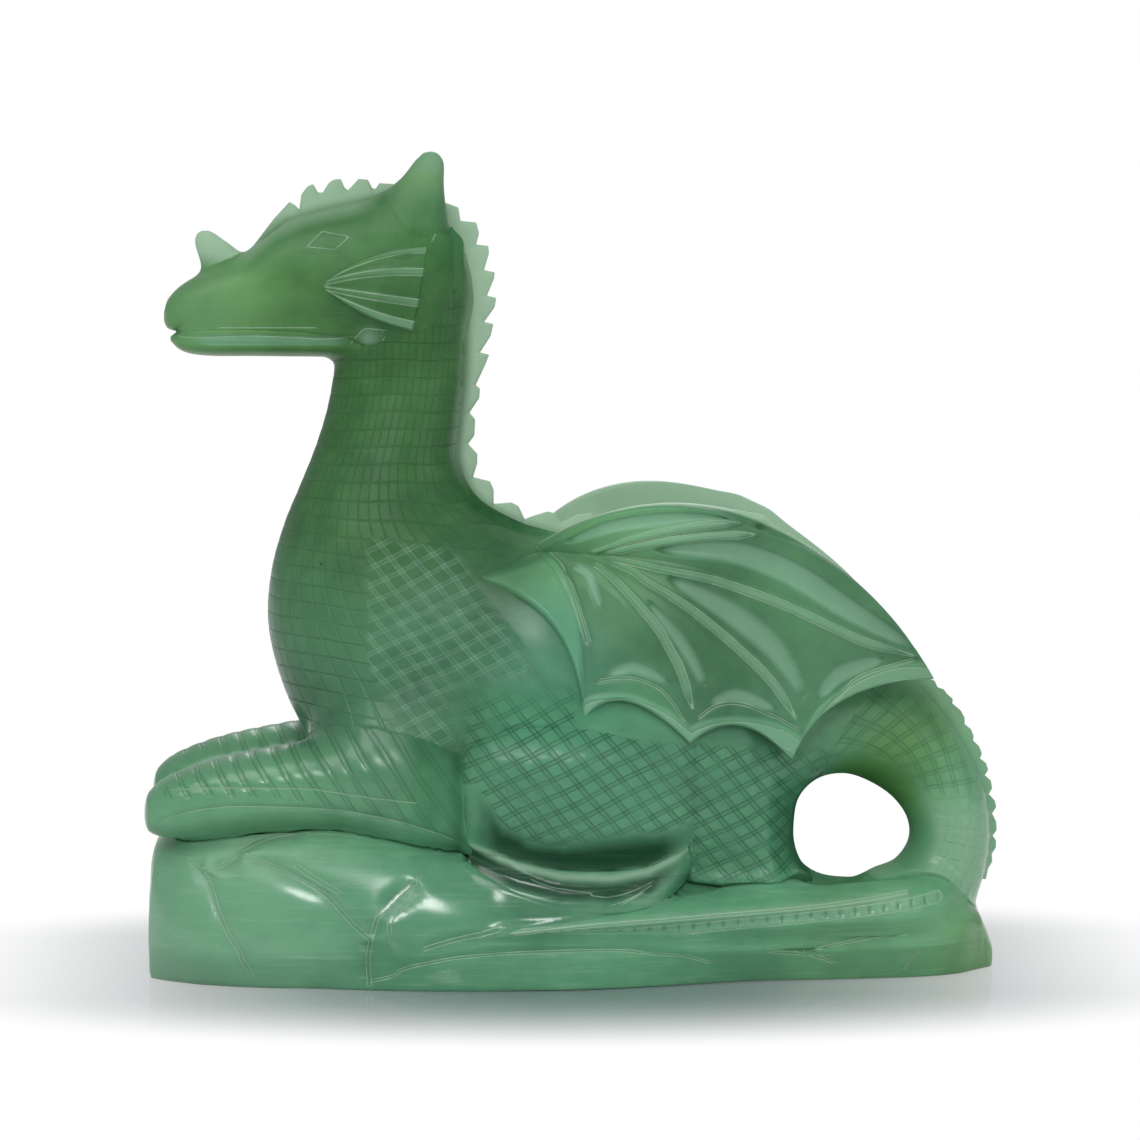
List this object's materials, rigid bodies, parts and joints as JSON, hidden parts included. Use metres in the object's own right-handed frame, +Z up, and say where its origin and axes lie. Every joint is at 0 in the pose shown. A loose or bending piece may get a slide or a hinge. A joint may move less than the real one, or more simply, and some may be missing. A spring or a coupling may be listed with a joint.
{
  "type": "carved stone dragon figurine",
  "caption": "Reclining winged dragon carved in green jade-like stone on a rock plinth, with an open loop in its tail and a flat underside to stand on.",
  "frame": {"origin": "middle of the flat underside of the plinth, which is also the bottom centre of the figure's box", "axes": "+Z up; -X the way the dragon faces, with the nose over -X and the tail loop at +X; -Y the dragon's own left side, where the end of the tail lies along the plinth"},
  "size_m": [0.12, 0.0452, 0.115],
  "materials": {
    "engraved_body_stone": "polished green aventurine, engraved with fine matt scale lines",
    "polished_plinth_stone": "high polish, with faint horizontal cloudy streaks",
    "wing_stone": "high polish over shallow carved ribs and hollows",
    "thin_pale_stone": "polished, ground thin enough to let light through, so it looks paler"
  },
  "bodies": {
    "root": {"rock_base": "polished_plinth_stone", "torso": "engraved_body_stone", "neck": "engraved_body_stone", "head": "engraved_body_stone", "lower_jaw": "engraved_body_stone", "nose_horn": "thin_pale_stone", "left_horn": "thin_pale_stone", "right_horn": "thin_pale_stone", "left_ear_fin": "engraved_body_stone", "right_ear_fin": "engraved_body_stone", "head_crest": "thin_pale_stone", "neck_crest": "thin_pale_stone", "left_wing": "wing_stone", "right_wing": "wing_stone", "left_foreleg": "engraved_body_stone", "right_foreleg": "engraved_body_stone", "left_thigh": "engraved_body_stone", "right_thigh": "engraved_body_stone", "left_hind_foot": "polished_plinth_stone", "right_hind_foot": "polished_plinth_stone", "tail_loop": "engraved_body_stone", "tail_crest": "thin_pale_stone", "tail_end": "polished_plinth_stone"}
  },
  "joints": []
}
